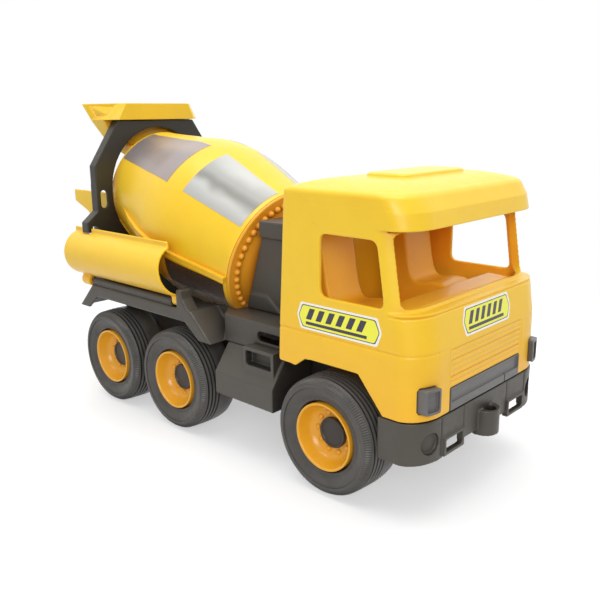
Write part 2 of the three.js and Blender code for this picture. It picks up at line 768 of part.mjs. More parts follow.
function hopper() {
  const inset = ({ z, front, corner, rear }, lift) => ({
    z: z + lift,
    front: [front[0] - 2, front[1] - 1.2],
    corner: [corner[0] - 1.2, corner[1] - 2],
    rear: [rear[0] + 2, rear[1] - 2],
  });
  const outside = loft(HOPPER.map(hopperRing));
  const lifts = [-4, 1.6, 2.1, 3];
  const inside = loft(HOPPER.map((level, i) => hopperRing(inset(level, lifts[i]))));
  // Below the funnel a slide leads forward through the frame into the drum's mouth.
  const slideOutline = [[-185, 203], [-185, 197], [-158, 187], [-158, 189], [-182, 199.5], [-182, 203]];
  const slide = sidePlate(slideOutline, -26, 26);
  const cheek = (side) => {
    const outline = [[-185, 203], [-185, 197], [-158, 187], [-158, 196], [-170, 203]];
    return sidePlate(outline, ...span(side, 24, 26));
  };
  const body = join(cut(outside, inside), slide, cheek(1), cheek(-1));
  return mesh("hopper", body, YELLOW);
}

// ---------- discharge spout behind the drum's mouth ----------
function dischargeSpout() {
  const [root, half, top] = [FRAME_FRONT - FRAME_THICK - GAP, 47, 162.8];
  const floor = (drop) => [
    [root, 108 - drop],
    [-180, 122 - drop],
    [-190, 139 - drop],
    [-200, 147.5 - drop],
    [SPOUT_TIP, 155 - drop],
  ];
  const cheekOutline = [[root, top], ...floor(1.8), [SPOUT_TIP, top]];
  const trough = [...floor(1.8), ...floor(0).reverse()];
  const cheek = (side) => sidePlate(cheekOutline, ...span(side, half - 2, half));
  return mesh("discharge_spout", join(sidePlate(trough, -half, half), cheek(1), cheek(-1)), YELLOW);
}

// ---------- chute stowed along the right side ----------
const CHUTE_WALL = 1.8;
const CHUTE_ARC = [106, 256];

function chute() {
  const inner = CHUTE_RADIUS - CHUTE_WALL;
  const [from, to] = CHUTE_ARC;
  const section = [
    ...arc(CHUTE_Y, CHUTE_Z, CHUTE_RADIUS, from, to, 24),
    ...arc(CHUTE_Y, CHUTE_Z, inner, to, from, 24),
  ];
  const trough = crossPlate(section, CHUTE_REAR, CHUTE_FRONT.low);
  const lip = block(CHUTE_REAR, CHUTE_FRONT.low, -70, -68.3, 132.6, 137.4);
  const [top, low, past] = [CHUTE_Z + CHUTE_RADIUS + 4, CHUTE_Z - CHUTE_RADIUS, CHUTE_FRONT.low + 10];
  const slantOutline = [[CHUTE_FRONT.low, low], [past, low], [past, top], [CHUTE_FRONT.top, top]];
  const slant = sidePlate(slantOutline, -90, -50);
  const knuckle = (rear, front, radius) =>
    join(
      rodX(radius, rear, front, HINGE_Y, HINGE_Z, 14),
      block(rear, front, HINGE_Y - 3, HINGE_Y + 1.5, HINGE_Z, 99.6),
    );
  const notch = block(FRAME_FRONT - FRAME_THICK - 1.5, FRAME_FRONT + 1.5, -80, -60, 132.9, 145);
  const bore = rodX(HINGE_ROD + GAP, -190, -40, HINGE_Y, HINGE_Z);
  const knuckles = join(knuckle(-174, RAIL.rear - 1, 5), knuckle(RAIL.front + 1, CHUTE_FRONT.low, 2.6));
  const body = join(cut(join(trough, lip), slant), knuckles);
  return mesh("chute", cut(body, notch, bore), YELLOW);
}

function chuteHingeRod() {
  return mesh("chute_hinge_rod", rodX(HINGE_ROD, -174, EAR.front - 3 - GAP, HINGE_Y, HINGE_Z), STEEL);
}

// ---------- assembly ----------
const truck = new THREE.Group();
truck.position.set(CENTRE_X, CENTRE_Y, 0);
for (const axle of Object.keys(AXLE_X)) {
  truck.add(wheel(axle, "left"), wheel(axle, "right"), axleRod(axle));
}
for (const place of Object.keys(SCREW_PLACES)) {
  truck.add(screw(place, "left"), screw(place, "right"));
}
truck.add(chassisFrame(), deck(), sideBox("left"), sideBox("right"));
truck.add(cabShell(), cabInterior(), grilleInsert(), headlight("left"), headlight("right"), frontBumper());
truck.add(pedestal(), drum(), rearFrame(), hopper(), dischargeSpout(), chute(), chuteHingeRod());

const group = new THREE.Group();
group.add(truck);
export default group;
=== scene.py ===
"""A toy cement mixer truck: its looks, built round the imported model."""
import json
import math

import bmesh
import bpy
from mathutils import Matrix, Vector


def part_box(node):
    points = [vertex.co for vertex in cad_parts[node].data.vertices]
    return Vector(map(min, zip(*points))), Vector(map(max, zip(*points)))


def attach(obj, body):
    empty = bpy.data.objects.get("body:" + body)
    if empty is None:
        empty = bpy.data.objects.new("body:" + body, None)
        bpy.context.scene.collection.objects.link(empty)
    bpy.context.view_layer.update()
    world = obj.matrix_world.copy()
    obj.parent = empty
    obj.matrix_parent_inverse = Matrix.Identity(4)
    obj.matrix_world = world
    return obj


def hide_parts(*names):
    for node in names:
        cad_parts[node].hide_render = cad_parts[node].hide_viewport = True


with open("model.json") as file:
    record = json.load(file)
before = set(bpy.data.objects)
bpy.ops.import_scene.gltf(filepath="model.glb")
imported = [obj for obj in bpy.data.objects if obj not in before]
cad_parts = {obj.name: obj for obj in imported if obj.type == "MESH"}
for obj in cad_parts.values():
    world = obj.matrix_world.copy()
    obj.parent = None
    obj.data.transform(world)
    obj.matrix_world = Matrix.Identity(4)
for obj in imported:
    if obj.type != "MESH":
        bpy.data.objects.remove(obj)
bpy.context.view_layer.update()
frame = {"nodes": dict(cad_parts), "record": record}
nodes = frame["nodes"]

# ---------- places, in the truck's own millimetres: x from its middle, y from its middle plane ----------
MM = 0.001
SIDES = {"left": 1, "right": -1}
AXLES = ("front", "middle", "rear")
FRONT_AXLE_X = 87.7


def centre(node):
    low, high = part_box(node)
    return (low + high) / 2


ORIGIN = Vector((centre("axle_front").x - FRONT_AXLE_X * MM, centre("axle_front").y, 0))
TO_ROW = Matrix.Translation(ORIGIN) @ Matrix.Scale(MM, 4)
TO_TRUCK = TO_ROW.inverted()

DRUM_TILT = math.radians(17.5)
DRUM_FRONT = Vector((-18.4, 0, 121.3))
DRUM_TO_TRUCK = Matrix.Translation(DRUM_FRONT) @ Matrix.Rotation(DRUM_TILT, 4, "Y")
SEAM_TURN = 10


# ---------- materials ----------
class Look:
    """A principled material whose nodes are added one by one."""

    def __init__(self, name, roughness, metallic=0.0, coat=0.0):
        self.material = bpy.data.materials.new(name)
        self.material.use_nodes = True
        self.tree = self.material.node_tree
        self.shader = self.tree.nodes["Principled BSDF"]
        self.shader.inputs["Roughness"].default_value = roughness
        self.shader.inputs["Metallic"].default_value = metallic
        self.shader.inputs["Coat Weight"].default_value = coat
        self.shader.inputs["Coat Roughness"].default_value = 0.12
        self.place = self.node("ShaderNodeTexCoord").outputs["Object"]

    def node(self, kind, **values):
        made = self.tree.nodes.new(kind)
        for name, value in values.items():
            setattr(made, name, value)
        return made

    def link(self, output, to):
        self.tree.links.new(output, to)

    def noise(self, scale, detail=3.0, rough=0.5):
        made = self.node("ShaderNodeTexNoise")
        made.inputs["Scale"].default_value = scale
        made.inputs["Detail"].default_value = detail
        made.inputs["Roughness"].default_value = rough
        self.link(self.place, made.inputs["Vector"])
        return made.outputs["Fac"]

    def spread(self, output, low, high, start=0.3, end=0.7):
        """output, from start to end, as a number from low to high."""
        made = self.node("ShaderNodeMapRange")
        for name, value in (("From Min", start), ("From Max", end), ("To Min", low), ("To Max", high)):
            made.inputs[name].default_value = value
        self.link(output, made.inputs["Value"])
        return made.outputs["Result"]

    def mix(self, amount, first, second):
        """Two colours, or the outputs that give them, mixed by amount."""
        made = self.node("ShaderNodeMix", data_type="RGBA")
        factor, a, b = made.inputs[0], made.inputs[6], made.inputs[7]
        for value, socket in ((amount, factor), (first, a), (second, b)):
            if isinstance(value, bpy.types.NodeSocket):
                self.link(value, socket)
            elif socket is factor:
                socket.default_value = value
            else:
                socket.default_value = (*value, 1)
        return made.outputs[2]

    def colour(self, output):
        self.link(output, self.shader.inputs["Base Color"])

    def roughness(self, output):
        self.link(output, self.shader.inputs["Roughness"])

    def bump(self, *layers):
        """Layers of (height output, depth in metres, strength), each on top of the last."""
        normal = None
        for height, depth, strength in layers:
            made = self.node("ShaderNodeBump")
            made.inputs["Distance"].default_value = depth
            made.inputs["Strength"].default_value = strength
            self.link(height, made.inputs["Height"])
            if normal:
                self.link(normal, made.inputs["Normal"])
            normal = made.outputs["Normal"]
        self.link(normal, self.shader.inputs["Normal"])

    def corner_shade_mask(self, distance):
        """1 on open faces, towards 0 in narrow corners: the mask for painted shade."""
        made = self.node("ShaderNodeAmbientOcclusion", samples=6)
        made.inputs["Distance"].default_value = distance
        return made.outputs["AO"]

    def edges(self, low, high):
        """0 on flat faces, towards 1 on outer edges: the mask for painted edge highlights."""
        return self.spread(self.node("ShaderNodeNewGeometry").outputs["Pointiness"], 0, 1, low, high)


PAINTED_LIGHT_RISE = (0.06, 0.13)


def moulded_plastic(
    name, colour, deep, roughness, grain=0.00002, shine=0.0, reach=0.012, shade=0.75, edge_highlight_strength=0.35, upper=None
):
    """Moulded plastic: slow colour drift, painted shade that turns it towards deep in its corners, painted
    highlights on its outer edges, a fine skin and slightly wavy faces.

    upper is the colour it turns to with height above the ground: painted light, with the lower parts kept
    darker and more orange for the bounced light and shade they get.
    """
    look = Look(name, roughness, coat=shine)
    drift = look.spread(look.noise(14, 2), 0, 1)
    pale = tuple(min(1, c * 1.05) for c in colour)
    body = look.mix(drift, colour, pale)
    # Painted light: the colour turns towards upper with height, so the lower parts stay darker and more
    # orange.
    if upper:
        height = look.node("ShaderNodeSeparateXYZ")
        look.link(look.place, height.inputs["Vector"])
        body = look.mix(look.spread(height.outputs["Z"], 0, 1, *PAINTED_LIGHT_RISE), body, upper)
    flow = look.spread(look.noise(55, 4, 0.6), 0, 0.22)
    body = look.mix(flow, body, tuple(c * 0.9 for c in colour))
    # Painted shade: in corners and narrow gaps the colour turns towards deep, by the amount shade.
    body = look.mix(look.spread(look.corner_shade_mask(reach), shade, 0, 0.2, 0.95), body, deep)
    # Painted highlight: outer edges turn towards a paler copy of the colour, as if catching the light.
    edge_highlight = tuple(min(1, c * 1.25 + 0.02) for c in colour)
    look.colour(look.mix(look.spread(look.edges(0.51, 0.58), 0, edge_highlight_strength, 0, 1), body, edge_highlight))
    look.roughness(look.spread(look.noise(240, 4, 0.6), roughness - 0.06, roughness + 0.07))
    look.bump((look.noise(38, 1), 0.0006, 0.25), (look.noise(2600, 2), grain, 0.5))
    return look.material


def interior_plastic():
    """The yellow plastic inside the cab: light passes a little way through its thin walls, and its colour is
    painted brighter and more orange than the outer yellow, with only weak painted shade, as painted light for
    the light that comes through the walls and bounces inside.
    """
    material = moulded_plastic(
        "interior_plastic", (1, 0.5, 0.03), (0.95, 0.32, 0.02), 0.42, shine=0.1, reach=0.008, shade=0.25
    )
    shader = material.node_tree.nodes["Principled BSDF"]
    shader.inputs["Subsurface Weight"].default_value = 0.35
    shader.inputs["Subsurface Radius"].default_value = (0.005, 0.002, 0.0003)
    shader.inputs["Subsurface Scale"].default_value = 1
    return material


def tyre_rubber():
    look = Look("tyre_rubber", 0.45)
    dust = look.spread(look.noise(70, 5, 0.65), 0, 1, 0.35, 0.75)
    body = look.mix(dust, (0.058, 0.053, 0.047), (0.084, 0.078, 0.07))
    # Painted shade: the rubber turns nearly black in corners and gaps.
    body = look.mix(look.spread(look.corner_shade_mask(0.014), 0.85, 0, 0.2, 0.9), body, (0.008, 0.008, 0.008))
    # Painted highlight: outer edges of the tread and sidewall turn lighter.
    edge_highlight = look.edges(0.52, 0.6)
    look.colour(look.mix(look.spread(edge_highlight, 0, 0.5, 0, 1), body, (0.15, 0.145, 0.14)))
    look.roughness(look.spread(look.noise(300, 4), 0.34, 0.5))
    look.bump((look.noise(1800, 3), 0.00004, 0.6))
    return look.material


def steel():
    look = Look("bright_steel", 0.3, metallic=1)
    streaks = look.noise(900, 5, 0.7)
    look.colour(look.mix(look.spread(streaks, 0, 1), (0.5, 0.5, 0.51), (0.68, 0.68, 0.68)))
    look.roughness(look.spread(streaks, 0.2, 0.42))
    look.bump((streaks, 0.00002, 0.4))
    return look.material


def foil(name, stops, metallic, roughness):
    """Mirror foil with painted reflections: light and dark bands that run across it, given as (place, colour)
    stops.
    """
    look = Look(name, roughness, metallic=metallic)
    across = look.node("ShaderNodeSeparateXYZ")
    look.link(look.node("ShaderNodeTexCoord").outputs["UV"], across.inputs["Vector"])
    reflection_band_place = look.node("ShaderNodeMath", operation="ADD")
    look.link(across.outputs["Y"], reflection_band_place.inputs[0])
    look.link(look.spread(look.noise(26, 2), -0.09, 0.09), reflection_band_place.inputs[1])
    ramp = look.node("ShaderNodeValToRGB")
    ramp.color_ramp.interpolation = "EASE"
    for i, (place, colour) in enumerate(stops):
        stop = ramp.color_ramp.elements[i] if i < 2 else ramp.color_ramp.elements.new(place)
        stop.position = place
        stop.color = (*colour, 1)
    look.link(reflection_band_place.outputs[0], ramp.inputs["Fac"])
    look.colour(ramp.outputs["Color"])
    look.roughness(look.spread(look.noise(420, 4, 0.7), roughness - 0.05, roughness + 0.08))
    look.bump((look.noise(60, 2), 0.0004, 0.3), (look.noise(1500, 3), 0.00001, 0.4))
    return look.material


def ink(name, colour):
    """Printed film: nearly even ink with a faint screen, under a thin gloss."""
    look = Look(name, 0.3, coat=0.3)
    screen = look.spread(look.noise(1600, 2), 0, 0.12)
    look.colour(look.mix(screen, colour, tuple(c * 0.8 for c in colour)))
    look.roughness(look.spread(look.noise(90, 3), 0.24, 0.38))
    look.bump((look.noise(45, 1), 0.0003, 0.2))
    return look.material


# The yellow has painted shade in its corners and painted light that makes it paler and more lemon higher up.
YELLOW = moulded_plastic(
    "yellow_plastic", (0.87, 0.46, 0.016), (0.74, 0.27, 0.01), 0.4, shine=0.1, upper=(0.88, 0.575, 0.022)
)
# Painted shade: a darker, more orange copy of the yellow, for the drum's front plate, which is yellow plastic
# in shadow.
YELLOW_PAINTED_SHADE = moulded_plastic(
    "yellow_plastic_painted_shade", (0.84, 0.38, 0.02), (0.62, 0.12, 0.01), 0.36, shine=0.15, reach=0.01
)
INTERIOR_PAINTED_LIGHT = interior_plastic()
RIM = moulded_plastic(
    "rim_plastic", (0.75, 0.355, 0.014), (0.62, 0.22, 0.01), 0.34, shine=0.3, reach=0.006, shade=0.4, edge_highlight_strength=0.1
)
DARK_GRAIN = 0.00005
# Its painted shade reaches 30 mm into the gaps round it and turns them nearly black.
DARK = moulded_plastic(
    "dark_plastic", (0.07, 0.062, 0.05), (0.01, 0.009, 0.008), 0.42, DARK_GRAIN, reach=0.03, shade=0.9
)
# Painted shade: a darker copy of the dark plastic for the rear frame, as the shade the drum casts on it.
DARK_PAINTED_SHADE = moulded_plastic(
    "dark_plastic_painted_shade", (0.036, 0.032, 0.024), (0.008, 0.007, 0.006), 0.42, DARK_GRAIN, reach=0.03, shade=0.9
)
CAP = moulded_plastic("cap_plastic", (0.034, 0.029, 0.026), (0.01, 0.009, 0.009), 0.36, grain=0.00004)
GREY = moulded_plastic("grey_plastic", (0.14, 0.135, 0.13), (0.03, 0.03, 0.03), 0.4, grain=0.00004)
RUBBER = tyre_rubber()
STEEL = steel()
WHITE_INK = ink("white_ink", (0.88, 0.87, 0.83))
NAVY_INK = ink("navy_ink", (0.04, 0.035, 0.06))
LEMON_INK = ink("lemon_ink", (0.87, 0.86, 0.06))
SLOT_LOOKS = {
    "yellow_plastic": YELLOW,
    "interior_plastic": INTERIOR_PAINTED_LIGHT,
    "rim_plastic": RIM,
    "dark_plastic": DARK,
    "tyre_rubber": RUBBER,
    "cap_plastic": CAP,
    "grey_plastic": GREY,
    "steel": STEEL,
}


# ---------- building blocks: closed bmeshes in truck millimetres ----------
def loft(rings, closed=False):
    """A closed skin through rings of points of one count; the ends are capped unless it closes on itself."""
    made = bmesh.new()
    rows = [[made.verts.new(point) for point in ring] for ring in rings]
    pairs = list(zip(rows, rows[1:] + ([rows[0]] if closed else [])))
    for low, high in pairs:
        for i in range(len(low)):
            j = (i + 1) % len(low)
            made.faces.new((low[i], low[j], high[j], high[i]))
    if not closed:
        made.faces.new(rows[0])
        made.faces.new(rows[-1])
    bmesh.ops.recalc_face_normals(made, faces=made.faces)
    return made


PLANES = {
    "X": lambda a, b, h: (h, a, b),
    "Y": lambda a, b, h: (a, h, b),
    "Z": lambda a, b, h: (a, b, h),
}


def prism(outline, axis, low, high):
    """A flat outline given its thickness along an axis; the outline is in the other two, in order."""
    place = PLANES[axis]
    return loft([[place(a, b, h) for a, b in outline] for h in (low, high)])


def block(x, y, z):
    return prism([(x[0], y[0]), (x[1], y[0]), (x[1], y[1]), (x[0], y[1])], "Z", *z)


def arc(cx, cy, radius, start, end, steps):
    turns = [math.radians(start + (end - start) * i / steps) for i in range(steps + 1)]
    return [(cx + radius * math.cos(t), cy + radius * math.sin(t)) for t in turns]


def rounded(outline, radius, steps=6):
    """An outline with each corner turned into an arc of about that radius."""
    made = []
    for i, corner in enumerate(outline):
        here = Vector(corner)
        back = Vector(outline[i - 1]) - here
        on = Vector(outline[(i + 1) % len(outline)]) - here
        reach = min(radius, back.length * 0.45, on.length * 0.45)
        start = here + back.normalized() * reach
        end = here + on.normalized() * reach
        for k in range(steps + 1):
            t = k / steps
            made.append(tuple(start * (1 - t) ** 2 + here * 2 * t * (1 - t) + end * t * t))
    return made


def rectangle(low_a, high_a, low_b, high_b, radius=0.0):
    corners = [(low_a, low_b), (high_a, low_b), (high_a, high_b), (low_a, high_b)]
    return rounded(corners, radius) if radius else corners


def curve(points, steps):
    """A smooth line through points, with steps between each two."""
    made = []
    for i in range(len(points) - 1):
        a, b, c, d = (Vector(points[min(max(i + k, 0), len(points) - 1)]) for k in (-1, 0, 1, 2))
        for k in range(steps):
            t = k / steps
            bend = b * 2 + (c - a) * t + (a * 2 - b * 5 + c * 4 - d) * t * t + (b * 3 - a - c * 3 + d) * t**3
            made.append(tuple(bend / 2))
    return made + [tuple(points[-1])]


AROUND = {
    "X": lambda r, h, t: (h, r * math.cos(t), r * math.sin(t)),
    "Y": lambda r, h, t: (r * math.sin(t), h, r * math.cos(t)),
    "Z": lambda r, h, t: (r * math.cos(t), r * math.sin(t), h),
}


def lathe(profile, axis, steps, start=0.0, end=360.0, relief=None):
    """A closed profile of (radius, height) turned about an axis from start to end, in degrees."""
    place = AROUND[axis]
    whole = end - start >= 360
    rings = []
    for k in range(steps if whole else steps + 1):
        turn = math.radians(start + (end - start) * k / steps)
        ring = [relief(i, k, r, h) if relief else (r, h) for i, (r, h) in enumerate(profile)]
        rings.append([place(r, h, turn) for r, h in ring])
    return loft(rings, closed=whole)


def disc(profile, axis, steps):
    """A profile of (radius, height) that starts and ends on the axis, turned into a closed body."""
    place = AROUND[axis]
    made = bmesh.new()
    first = made.verts.new(place(0, profile[0][1], 0))
    last = made.verts.new(place(0, profile[-1][1], 0))
    rows = []
    for r, h in profile[1:-1]:
        rows.append([made.verts.new(place(r, h, 2 * math.pi * k / steps)) for k in range(steps)])
    for k in range(steps):
        j = (k + 1) % steps
        made.faces.new((first, rows[0][k], rows[0][j]))
        made.faces.new((last, rows[-1][j], rows[-1][k]))
        for low, high in zip(rows, rows[1:]):
            made.faces.new((low[k], high[k], high[j], low[j]))
    bmesh.ops.recalc_face_normals(made, faces=made.faces)
    return made


def moved(body, matrix):
    bmesh.ops.transform(body, matrix=matrix, verts=body.verts)
    return body


def joined(*bodies):
    """Several bodies in one bmesh, as they are."""
    whole = bodies[0]
    for body in bodies[1:]:
        scratch = bpy.data.meshes.new("scratch")
        body.to_mesh(scratch)
        body.free()
        whole.from_mesh(scratch)
        bpy.data.meshes.remove(scratch)
    return whole


def cad_copy(node):
    """A CAD node's shape as a bmesh in truck millimetres."""
    body = bmesh.new()
    body.from_mesh(nodes[node].data)
    bmesh.ops.remove_doubles(body, verts=body.verts, dist=1e-6)
    for layer in list(body.loops.layers.uv):
        body.loops.layers.uv.remove(layer)
    return moved(body, TO_TRUCK)


def scratch_object(body):
    mesh = bpy.data.meshes.new("scratch")
    body.to_mesh(mesh)
    body.free()
    made = bpy.data.objects.new("scratch", mesh)
    bpy.context.scene.collection.objects.link(made)
    return made


def settled(obj):
    """The object's mesh with its modifiers applied, as a bmesh; the object is removed."""
    evaluated = obj.evaluated_get(bpy.context.evaluated_depsgraph_get())
    mesh = bpy.data.meshes.new_from_object(evaluated)
    body = bmesh.new()
    body.from_mesh(mesh)
    bpy.data.meshes.remove(mesh)
    bpy.data.objects.remove(obj)
    return body


def combined(body, operation, *others):
    """body with the others joined (UNION) or cut away (DIFFERENCE), exactly."""
    base = scratch_object(body)
    tools = []
    for other in others:
        tool = scratch_object(other)
        step = base.modifiers.new("combine", "BOOLEAN")
        step.solver = "MANIFOLD"
        step.operation = operation
        step.object = tool
        tools.append(tool)
    result = settled(base)
    for tool in tools:
        bpy.data.objects.remove(tool)
    return result


def cut(body, *others):
    return combined(body, "DIFFERENCE", *others)


def softened(body, cell, passes=4, keep=0.3):
    """body as one moulding with softly rounded edges, made of cells of that size."""
    obj = scratch_object(body)
    remesh = obj.modifiers.new("remesh", "REMESH")
    remesh.mode = "VOXEL"
    remesh.voxel_size = cell
    smooth = obj.modifiers.new("smooth", "SMOOTH")
    smooth.factor = 0.5
    smooth.iterations = passes
    if keep < 1:
        thin = obj.modifiers.new("thin", "DECIMATE")
        thin.ratio = keep
    return settled(obj)


def piece(name, body, materials, ride_on, slot, replaced=(), sharp=35):
    """A bmesh in truck millimetres becomes a shown piece that rides on a body of the frame."""
    mesh = bpy.data.meshes.new(name)
    body.to_mesh(mesh)
    body.free()
    mesh.transform(TO_ROW)
    for material in materials if isinstance(materials, (list, tuple)) else [materials]:
        mesh.materials.append(material)
    mesh.shade_smooth()
    mesh.set_sharp_from_angle(angle=math.radians(sharp))
    made = bpy.data.objects.new(name, mesh)
    bpy.context.scene.collection.objects.link(made)
    even = made.modifiers.new("even_normals", "WEIGHTED_NORMAL")
    even.keep_sharp = True
    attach(made, ride_on)
    if replaced:
        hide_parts(*([replaced] if isinstance(replaced, str) else replaced))
    return made


# ---------- wheels ----------
TYRE_HALF = 16.5
HUB_FACE = 3.5
SERRATIONS = 150
TREAD_GROOVES = (11.2, 8.2, 5.2, 2.2)


def tyre():
    """Outer side first: bead, stepped sidewall, serrated shoulder, four grooves, then a plain crown."""
    outer = [(21.5, 10.6), (22.0, 11.4), (22.4, 13.2), (23.4, 13.8), (24.2, 13.4), (25.0, 13.4), (27.0, 14.6)]
    outer += [(29.4, 15.4), (30.8, 15.5), (31.2, 16.3), (32.4, 16.45), (33.4, 16.2), (34.4, 15.5)]
    outer += [(35.5, 14.2), (36.3, 12.9)]
    grooves = []
    for y in TREAD_GROOVES:
        crown = 36.9 - 0.004 * y * y
        grooves += [(crown, y + 0.8), (crown - 0.3, y + 0.6), (crown - 1.6, y + 0.45)]
        grooves += [(crown - 1.6, y - 0.45), (crown - 0.3, y - 0.6), (crown, y - 0.8)]
    inner = [(36.95, -4), (36.6, -9), (36.0, -12.4), (34.6, -14.9), (31.5, -16.4), (27, -14.8), (21.5, -12.5)]
    profile = outer + grooves + inner
    shoulder = range(9, 15)

    def relief(i, k, r, h):
        return (r - 0.32, h - 0.24) if i in shoulder and k % 2 else (r, h)

    return lathe(profile, "Y", 2 * SERRATIONS, relief=relief)


def rim():
    """A deep dish with a thin bright lip, a ring of small lug bumps and a bore for the axle."""
    lip = TYRE_HALF - 1.6
    dish = curve([(20.4, lip), (19.6, lip - 0.4), (18.8, 12), (17.2, 7.6), (14.9, 5), (11.8, 3.8)], 4)
    profile = [(21.2, -11.9), (21.2, lip - 0.5), (21.0, lip - 0.1), *dish, (10.6, HUB_FACE), (2.8, HUB_FACE)]
    profile += [(2.8, -6.5), (6.5, -6.5), (6.5, 1), (18.2, 1), (19.4, -11.9)]
    body = lathe(profile, "Y", 96)
    lugs = []
    for k in range(10):
        turn = 2 * math.pi * k / 10
        lug = disc([(0, 2), (1.7, 2), (1.7, 4.2), (1.45, 4.9), (0.8, 5.3), (0, 5.4)], "Y", 20)
        lugs.append(moved(lug, Matrix.Translation((12.6 * math.cos(turn), 0, 12.6 * math.sin(turn)))))
    return combined(body, "UNION", joined(*lugs))


def hub_cap():
    base = HUB_FACE + 0.3
    outline = [(0, 0), (9.6, 0), (9.7, 1.6), (9.4, 2.3), (8.8, 2.6), (8.1, 2.4), (7.7, 1.9), (4, 2.1)]
    outline.append((0, 2.2))
    return disc([(r, base + h) for r, h in outline], "Y", 64)


def wheels():
    for axle in AXLES:
        for side, turn in SIDES.items():
            hub = Vector(centre(f"tyre_{axle}_{side}"))
            spot = Matrix.Translation(TO_TRUCK @ hub)
            if turn < 0:
                spot = spot @ Matrix.Rotation(math.pi, 4, "Z")
            spot = spot @ Matrix.Rotation(math.radians(13 * AXLES.index(axle)), 4, "Y")
            body = f"wheel_{axle}_{side}"
            parts = (
                ("tyre", tyre, RUBBER, "tyre_rubber"),
                ("rim", rim, RIM, "rim_plastic"),
                ("hub_cap", hub_cap, CAP, "cap_plastic"),
            )
            for part, make, look, slot in parts:
                node = f"{part}_{axle}_{side}"
                piece(f"{part}_skin_{axle}_{side}", moved(make(), spot), look, body, slot, node)


# ---------- drum ----------
DRUM_STATIONS = [
    (-153, 44.5),
    (-142.7, 46.6),
    (-124, 51.2),
    (-105, 55.8),
    (-88, 60.2),
    (-68, 62),
    (-53, 60.7),
    (-38, 58.2),
    (-22, 54.9),
    (0, 51),
]
DRUM_LINE = curve(DRUM_STATIONS, 5)
DRUM_WALL = 2
FLANGE_START = -128
FLANGE_RAMP = 22
FLANGE_HEIGHT = 2.8
STUD_CIRCLE = 43.4
STUD_COUNT = 45


def drum_radius(station):
    """The drum's outside radius at a station along its axis."""
    for (s0, r0), (s1, r1) in zip(DRUM_LINE, DRUM_LINE[1:]):
        if station <= s1:
            return r0 + (r1 - r0) * (station - s0) / (s1 - s0)
    return DRUM_LINE[-1][1]


def in_drum(body):
    return moved(body, DRUM_TO_TRUCK)


def drum_half(turn):
    """Half of the shell with its seam flanges, turned about the drum's axis."""
    line = [(r, s) for s, r in DRUM_LINE]
    profile = line + [(r - DRUM_WALL, s) for r, s in reversed(line)]
    edge = 0.15
    shell = lathe(profile, "X", 72, edge, 180 - edge)
    run = [s for s, _ in DRUM_LINE if FLANGE_START <= s]

    def proud(s):
        rise = min(1, (s - FLANGE_START) / FLANGE_RAMP)
        return 0.2 + FLANGE_HEIGHT * rise * rise * (3 - 2 * rise)

    flanges = []
    for side in (1, -1):
        lip = [(s, side * (drum_radius(s) + proud(s))) for s in run]
        root = [(s, side * (drum_radius(s) - 1)) for s in reversed(run)]
        flanges.append(prism(lip + root, "Z", edge, 2.2))
    whole = combined(shell, "UNION", *flanges)
    return in_drum(moved(whole, Matrix.Rotation(math.radians(turn), 4, "X")))


def drum_front():
    """The front plate with its ring of ball studs."""
    radius = DRUM_STATIONS[-1][1]
    profile = [(4.8, 0.3), (radius - 0.3, 0.3), (radius - 0.5, 1.2), (radius - 1.2, 1.8), (40.5, 2.2)]
    profile += [(39, 2.4), (36, 4.2), (30, 7), (9, 7), (8, 10.6), (4.8, 10.6)]
    plate = lathe(profile, "X", 96)
    studs = []
    for k in range(STUD_COUNT):
        turn = 2 * math.pi * k / STUD_COUNT
        ball = [(2.35 * math.sin(math.pi * i / 8), 2.4 - 2.35 * math.cos(math.pi * i / 8)) for i in range(9)]
        stud = disc(ball, "X", 14)
        spot = (0, STUD_CIRCLE * math.cos(turn), STUD_CIRCLE * math.sin(turn))
        studs.append(moved(stud, Matrix.Translation(spot)))
    return in_drum(joined(plate, *studs))


def wrapped(stations, angles, lift=0.2, thick=0.3):
    """A thin patch on the drum's skin, with its UV running along and round."""
    steps_along, steps_round = 28, 36
    made = bmesh.new()
    uv = made.loops.layers.uv.new("UVMap")
    grids = []
    for height in (lift, lift - thick):
        grid = []
        for i in range(steps_along + 1):
            s = stations[0] + (stations[1] - stations[0]) * i / steps_along
            row = []
            for k in range(steps_round + 1):
                turn = math.radians(angles[0] + (angles[1] - angles[0]) * k / steps_round)
                r = drum_radius(s) + height
                row.append(made.verts.new((s, r * math.sin(turn), r * math.cos(turn))))
            grid.append(row)
        grids.append(grid)
    spots = {}
    for grid in grids:
        for i, row in enumerate(grid):
            for k, vert in enumerate(row):
                spots[vert] = (i / steps_along, k / steps_round)
        for low, high in zip(grid, grid[1:]):
            for k in range(steps_round):
                made.faces.new((low[k], low[k + 1], high[k + 1], high[k]))
    top, under = grids
    borders = [(top[0], under[0]), (top[-1], under[-1])]
    borders += [([row[k] for row in top], [row[k] for row in under]) for k in (0, -1)]
    for over, below in borders:
        for i in range(len(over) - 1):
            made.faces.new((over[i], over[i + 1], below[i + 1], below[i]))
    bmesh.ops.recalc_face_normals(made, faces=made.faces)
    for face in made.faces:
        for loop in face.loops:
            loop[uv].uv = spots[loop.vert]
    return in_drum(made)


